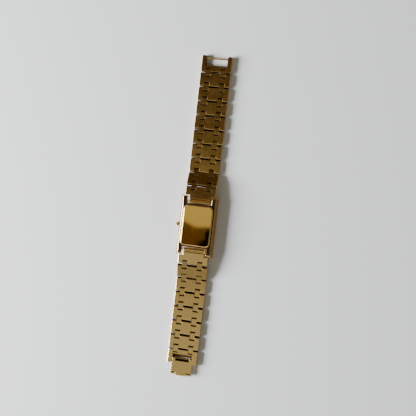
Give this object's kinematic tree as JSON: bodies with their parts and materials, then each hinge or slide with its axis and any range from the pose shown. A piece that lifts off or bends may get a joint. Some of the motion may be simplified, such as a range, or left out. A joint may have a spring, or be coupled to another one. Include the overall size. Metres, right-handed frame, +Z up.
{
  "type": "rectangular wristwatch",
  "caption": "Rectangular dress watch, face down, with an open gold link bracelet of hinged wide links and small connectors and a hinged hook clasp.",
  "frame": {"origin": "centre of the crystal's outer face, on which the watch lies", "axes": "+Y towards the 12 o'clock end of the bracelet, +Z up to the case back, crown on -X"},
  "size_m": [0.0208, 0.1678, 0.0058],
  "materials": {
    "satin_gold": "satin gold plate",
    "polished_gold": "polished gold plate",
    "steel": "turned steel",
    "mineral_glass": "polished",
    "seal": "smooth",
    "dial_face": "satin lacquer",
    "hand_metal": "dark polished",
    "wheel_brass": "fine turned",
    "nickel_plate": "nickel plated, grained",
    "spacer_plastic": "moulded",
    "cell_steel": "drawn",
    "soft_iron": "stamped",
    "magnet": "sintered",
    "copper_wire": "enamelled wire",
    "board": "lacquered board"
  },
  "bodies": {
    "case": {"case_body": "polished_gold", "crystal": "mineral_glass", "crystal_gasket": "seal", "case_back": "polished_gold", "case_back_gasket": "seal", "spring_bars": "steel", "dial": "dial_face", "main_plate": "nickel_plate", "movement_ring": "spacer_plastic", "train_bridge": "nickel_plate", "battery": "cell_steel", "stator": "soft_iron", "coil": "copper_wire", "circuit_board": "board"},
    "minute": {"cannon_pinion": "steel", "minute_hand": "hand_metal"},
    "hour": {"hour_wheel": "wheel_brass", "hour_hand": "hand_metal"},
    "minute_wheel": {"minute_wheel": "wheel_brass"},
    "rotor": {"rotor": "magnet"},
    "sliding_pinion": {"sliding_pinion": "steel"},
    "stem": {"stem": "steel", "crown": "polished_gold"},
    "end_link_12": {"end_link_12": "satin_gold"},
    "connectors_12_1": {"connectors_12_1": "satin_gold"},
    "link_12_1": {"link_12_1": "satin_gold"},
    "connectors_12_2": {"connectors_12_2": "satin_gold"},
    "link_12_2": {"link_12_2": "satin_gold"},
    "connectors_12_3": {"connectors_12_3": "satin_gold"},
    "link_12_3": {"link_12_3": "satin_gold"},
    "connectors_12_4": {"connectors_12_4": "satin_gold"},
    "link_12_4": {"link_12_4": "satin_gold"},
    "connectors_12_5": {"connectors_12_5": "satin_gold"},
    "link_12_5": {"link_12_5": "satin_gold"},
    "connectors_12_6": {"connectors_12_6": "satin_gold"},
    "link_12_6": {"link_12_6": "satin_gold"},
    "connectors_12_7": {"connectors_12_7": "satin_gold"},
    "link_12_7": {"link_12_7": "satin_gold"},
    "connectors_12_8": {"connectors_12_8": "satin_gold"},
    "link_12_8": {"link_12_8": "satin_gold"},
    "connectors_12_9": {"connectors_12_9": "satin_gold"},
    "catch_frame": {"catch_frame": "satin_gold", "catch_bar": "polished_gold"},
    "end_link_6": {"end_link_6": "satin_gold"},
    "connectors_6_1": {"connectors_6_1": "satin_gold"},
    "link_6_1": {"link_6_1": "satin_gold"},
    "connectors_6_2": {"connectors_6_2": "satin_gold"},
    "link_6_2": {"link_6_2": "satin_gold"},
    "connectors_6_3": {"connectors_6_3": "satin_gold"},
    "link_6_3": {"link_6_3": "satin_gold"},
    "connectors_6_4": {"connectors_6_4": "satin_gold"},
    "link_6_4": {"link_6_4": "satin_gold"},
    "connectors_6_5": {"connectors_6_5": "satin_gold"},
    "link_6_5": {"link_6_5": "satin_gold"},
    "connectors_6_6": {"connectors_6_6": "satin_gold"},
    "link_6_6": {"link_6_6": "satin_gold"},
    "connectors_6_7": {"connectors_6_7": "satin_gold"},
    "hook_frame": {"hook_frame": "satin_gold", "hook_pin": "polished_gold"},
    "hook_plate": {"hook_plate": "satin_gold"}
  },
  "joints": [
    {"name": "minute_turn", "type": "hinge", "parent": "case", "child": "minute", "pos_m": [0, 0, 0.0023], "axis": [0, 0, 1], "continuous": true},
    {"name": "hour_turn", "type": "hinge", "parent": "case", "child": "hour", "pos_m": [0, 0, 0.0023], "axis": [0, 0, 1], "continuous": true},
    {"name": "minute_wheel_turn", "type": "hinge", "parent": "case", "child": "minute_wheel", "pos_m": [-0.00141, 0.00141, 0.0028], "axis": [0, 0, 1], "continuous": true},
    {"name": "rotor_turn", "type": "hinge", "parent": "case", "child": "rotor", "pos_m": [0.0024, 0.0044, 0.00349], "axis": [0, 0, 1], "continuous": true},
    {"name": "crown_turn", "type": "hinge", "parent": "case", "child": "sliding_pinion", "pos_m": [-0.0045, 0, 0.0033], "axis": [-1, 0, 0], "continuous": true},
    {"name": "crown_pull", "type": "slide", "parent": "sliding_pinion", "child": "stem", "axis": [-1, 0, 0], "range_m": [0, 0.001]},
    {"name": "end_link_12_hinge", "type": "hinge", "parent": "case", "child": "end_link_12", "pos_m": [0, 0.0124, 0.00415], "axis": [1, 0, 0], "range_deg": [-0.98, 43.52]},
    {"name": "connectors_12_1_hinge", "type": "hinge", "parent": "end_link_12", "child": "connectors_12_1", "pos_m": [0, 0.01924, 0.00373], "axis": [1, 0, 0], "range_deg": [-0.49, 22.01]},
    {"name": "link_12_1_hinge", "type": "hinge", "parent": "connectors_12_1", "child": "link_12_1", "pos_m": [0, 0.02149, 0.00327], "axis": [1, 0, 0], "range_deg": [-0.49, 22.01]},
    {"name": "connectors_12_2_hinge", "type": "hinge", "parent": "link_12_1", "child": "connectors_12_2", "pos_m": [0, 0.02636, 0.00154], "axis": [1, 0, 0], "range_deg": [-18.27, 4.23]},
    {"name": "link_12_2_hinge", "type": "hinge", "parent": "connectors_12_2", "child": "link_12_2", "pos_m": [0, 0.02863, 0.00115], "axis": [1, 0, 0], "range_deg": [-18.27, 4.23]},
    {"name": "connectors_12_3_hinge", "type": "hinge", "parent": "link_12_2", "child": "connectors_12_3", "pos_m": [0, 0.0338, 0.00115], "axis": [1, 0, 0], "range_deg": [-8.5, 14]},
    {"name": "link_12_3_hinge", "type": "hinge", "parent": "connectors_12_3", "child": "link_12_3", "pos_m": [0, 0.0361, 0.00115], "axis": [1, 0, 0], "range_deg": [-8.5, 14]},
    {"name": "connectors_12_4_hinge", "type": "hinge", "parent": "link_12_3", "child": "connectors_12_4", "pos_m": [0, 0.04127, 0.00115], "axis": [1, 0, 0], "range_deg": [-8.5, 14]},
    {"name": "link_12_4_hinge", "type": "hinge", "parent": "connectors_12_4", "child": "link_12_4", "pos_m": [0, 0.04357, 0.00115], "axis": [1, 0, 0], "range_deg": [-8.5, 14]},
    {"name": "connectors_12_5_hinge", "type": "hinge", "parent": "link_12_4", "child": "connectors_12_5", "pos_m": [0, 0.04874, 0.00115], "axis": [1, 0, 0], "range_deg": [-8.5, 14]},
    {"name": "link_12_5_hinge", "type": "hinge", "parent": "connectors_12_5", "child": "link_12_5", "pos_m": [0, 0.05104, 0.00115], "axis": [1, 0, 0], "range_deg": [-8.5, 14]},
    {"name": "connectors_12_6_hinge", "type": "hinge", "parent": "link_12_5", "child": "connectors_12_6", "pos_m": [0, 0.05621, 0.00115], "axis": [1, 0, 0], "range_deg": [-8.5, 14]},
    {"name": "link_12_6_hinge", "type": "hinge", "parent": "connectors_12_6", "child": "link_12_6", "pos_m": [0, 0.05851, 0.00115], "axis": [1, 0, 0], "range_deg": [-8.5, 14]},
    {"name": "connectors_12_7_hinge", "type": "hinge", "parent": "link_12_6", "child": "connectors_12_7", "pos_m": [0, 0.06368, 0.00115], "axis": [1, 0, 0], "range_deg": [-8.5, 14]},
    {"name": "link_12_7_hinge", "type": "hinge", "parent": "connectors_12_7", "child": "link_12_7", "pos_m": [0, 0.06598, 0.00115], "axis": [1, 0, 0], "range_deg": [-8.5, 14]},
    {"name": "connectors_12_8_hinge", "type": "hinge", "parent": "link_12_7", "child": "connectors_12_8", "pos_m": [0, 0.07115, 0.00115], "axis": [1, 0, 0], "range_deg": [-8.5, 14]},
    {"name": "link_12_8_hinge", "type": "hinge", "parent": "connectors_12_8", "child": "link_12_8", "pos_m": [0, 0.07345, 0.00115], "axis": [1, 0, 0], "range_deg": [-8.5, 14]},
    {"name": "connectors_12_9_hinge", "type": "hinge", "parent": "link_12_8", "child": "connectors_12_9", "pos_m": [0, 0.07862, 0.00115], "axis": [1, 0, 0], "range_deg": [-8.5, 14]},
    {"name": "catch_frame_hinge", "type": "hinge", "parent": "connectors_12_9", "child": "catch_frame", "pos_m": [0, 0.08092, 0.00115], "axis": [1, 0, 0], "range_deg": [-8.5, 14]},
    {"name": "end_link_6_hinge", "type": "hinge", "parent": "case", "child": "end_link_6", "pos_m": [0, -0.0124, 0.00415], "axis": [1, 0, 0], "range_deg": [-43.52, 0.98]},
    {"name": "connectors_6_1_hinge", "type": "hinge", "parent": "end_link_6", "child": "connectors_6_1", "pos_m": [0, -0.01924, 0.00373], "axis": [1, 0, 0], "range_deg": [-22.01, 0.49]},
    {"name": "link_6_1_hinge", "type": "hinge", "parent": "connectors_6_1", "child": "link_6_1", "pos_m": [0, -0.02149, 0.00327], "axis": [1, 0, 0], "range_deg": [-22.01, 0.49]},
    {"name": "connectors_6_2_hinge", "type": "hinge", "parent": "link_6_1", "child": "connectors_6_2", "pos_m": [0, -0.02636, 0.00154], "axis": [1, 0, 0], "range_deg": [-4.23, 18.27]},
    {"name": "link_6_2_hinge", "type": "hinge", "parent": "connectors_6_2", "child": "link_6_2", "pos_m": [0, -0.02863, 0.00115], "axis": [1, 0, 0], "range_deg": [-4.23, 18.27]},
    {"name": "connectors_6_3_hinge", "type": "hinge", "parent": "link_6_2", "child": "connectors_6_3", "pos_m": [0, -0.0338, 0.00115], "axis": [1, 0, 0], "range_deg": [-14, 8.5]},
    {"name": "link_6_3_hinge", "type": "hinge", "parent": "connectors_6_3", "child": "link_6_3", "pos_m": [0, -0.0361, 0.00115], "axis": [1, 0, 0], "range_deg": [-14, 8.5]},
    {"name": "connectors_6_4_hinge", "type": "hinge", "parent": "link_6_3", "child": "connectors_6_4", "pos_m": [0, -0.04127, 0.00115], "axis": [1, 0, 0], "range_deg": [-14, 8.5]},
    {"name": "link_6_4_hinge", "type": "hinge", "parent": "connectors_6_4", "child": "link_6_4", "pos_m": [0, -0.04357, 0.00115], "axis": [1, 0, 0], "range_deg": [-14, 8.5]},
    {"name": "connectors_6_5_hinge", "type": "hinge", "parent": "link_6_4", "child": "connectors_6_5", "pos_m": [0, -0.04874, 0.00115], "axis": [1, 0, 0], "range_deg": [-14, 8.5]},
    {"name": "link_6_5_hinge", "type": "hinge", "parent": "connectors_6_5", "child": "link_6_5", "pos_m": [0, -0.05104, 0.00115], "axis": [1, 0, 0], "range_deg": [-14, 8.5]},
    {"name": "connectors_6_6_hinge", "type": "hinge", "parent": "link_6_5", "child": "connectors_6_6", "pos_m": [0, -0.05621, 0.00115], "axis": [1, 0, 0], "range_deg": [-14, 8.5]},
    {"name": "link_6_6_hinge", "type": "hinge", "parent": "connectors_6_6", "child": "link_6_6", "pos_m": [0, -0.05851, 0.00115], "axis": [1, 0, 0], "range_deg": [-14, 8.5]},
    {"name": "connectors_6_7_hinge", "type": "hinge", "parent": "link_6_6", "child": "connectors_6_7", "pos_m": [0, -0.06368, 0.00115], "axis": [1, 0, 0], "range_deg": [-14, 8.5]},
    {"name": "hook_frame_hinge", "type": "hinge", "parent": "connectors_6_7", "child": "hook_frame", "pos_m": [0, -0.06598, 0.00115], "axis": [1, 0, 0], "range_deg": [-14, 8.5]},
    {"name": "hook_plate_hinge", "type": "hinge", "parent": "hook_frame", "child": "hook_plate", "pos_m": [0, -0.06986, 0.0013], "axis": [1, 0, 0], "range_deg": [-100, 20]}
  ],
  "couplings": [
    {"joint": "hour_turn", "follows": "minute_turn", "ratio": 0.083333},
    {"joint": "minute_wheel_turn", "follows": "minute_turn", "ratio": -0.33333}
  ]
}
